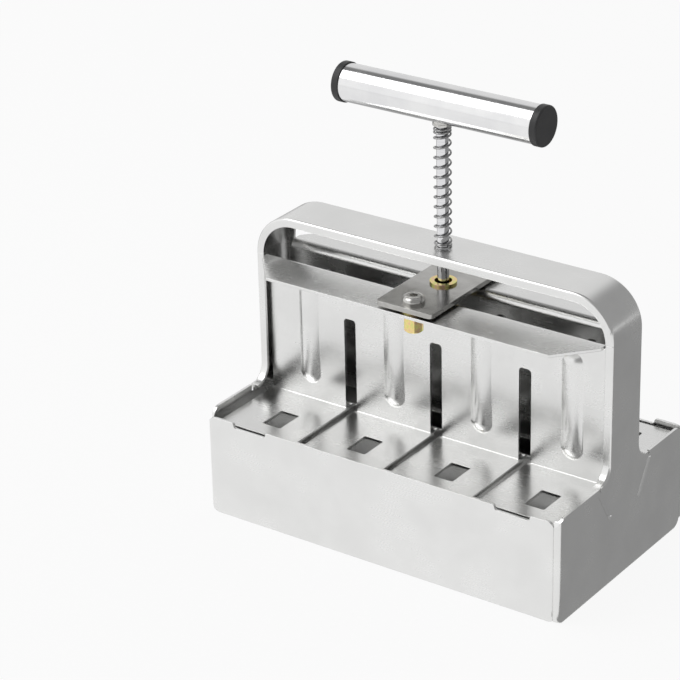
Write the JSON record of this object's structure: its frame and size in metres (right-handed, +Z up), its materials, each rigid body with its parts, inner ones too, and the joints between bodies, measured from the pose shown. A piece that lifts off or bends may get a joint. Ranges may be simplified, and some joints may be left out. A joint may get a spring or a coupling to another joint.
{
  "type": "soil blocker",
  "caption": "Hand soil blocker: open-bottomed sheet steel grid box below a bent arch frame, with a T-handled spring-loaded plunger that pushes out the pressed soil blocks.",
  "frame": {"origin": "middle of the box's footprint, on the surface that the bottom rim stands on", "axes": "+X along the long side of the box and along the handle, +Y towards the rear wall, +Z up along the push rod"},
  "size_m": [0.21, 0.121, 0.2358],
  "materials": {
    "frame_steel": "cold-rolled stainless sheet, satin to bright",
    "plunger_steel": "cold-rolled stainless sheet, satin to bright",
    "yoke_steel": "zinc-plated steel plate, brushed",
    "screw_steel": "bright stainless",
    "yellow_zinc": "yellow passivated zinc on steel",
    "rod_chrome": "bright drawn rod",
    "spring_wire": "drawn spring wire",
    "handle_steel": "polished stainless tube",
    "cap_plastic": "moulded, fine grain"
  },
  "bodies": {
    "frame": {"left_end_plate": "frame_steel", "right_end_plate": "frame_steel", "top_arch": "frame_steel", "front_wall": "frame_steel", "rear_wall": "frame_steel", "front_inner_wall": "frame_steel", "rear_inner_wall": "frame_steel", "front_cell_divider_1": "frame_steel", "front_cell_divider_2": "frame_steel", "front_cell_divider_3": "frame_steel", "rear_cell_divider_1": "frame_steel", "rear_cell_divider_2": "frame_steel", "rear_cell_divider_3": "frame_steel", "return_spring": "spring_wire"},
    "plunger": {"front_plunger": "plunger_steel", "rear_plunger": "plunger_steel", "yoke_plate": "yoke_steel", "yoke_screws": "screw_steel", "plunger_rivet_nuts": "yellow_zinc", "yoke_rivet_nut": "yellow_zinc", "push_rod": "rod_chrome", "handle_rivet_nut": "screw_steel", "handle_tube": "handle_steel", "left_handle_cap": "cap_plastic", "right_handle_cap": "cap_plastic"}
  },
  "joints": [
    {"name": "plunger_slide", "type": "slide", "parent": "frame", "child": "plunger", "axis": [0, 0, 1], "range_m": [-0.0474, 0], "stiffness_N_per_m": 400, "springref_m": 0.03, "deforming": ["return_spring"]}
  ]
}
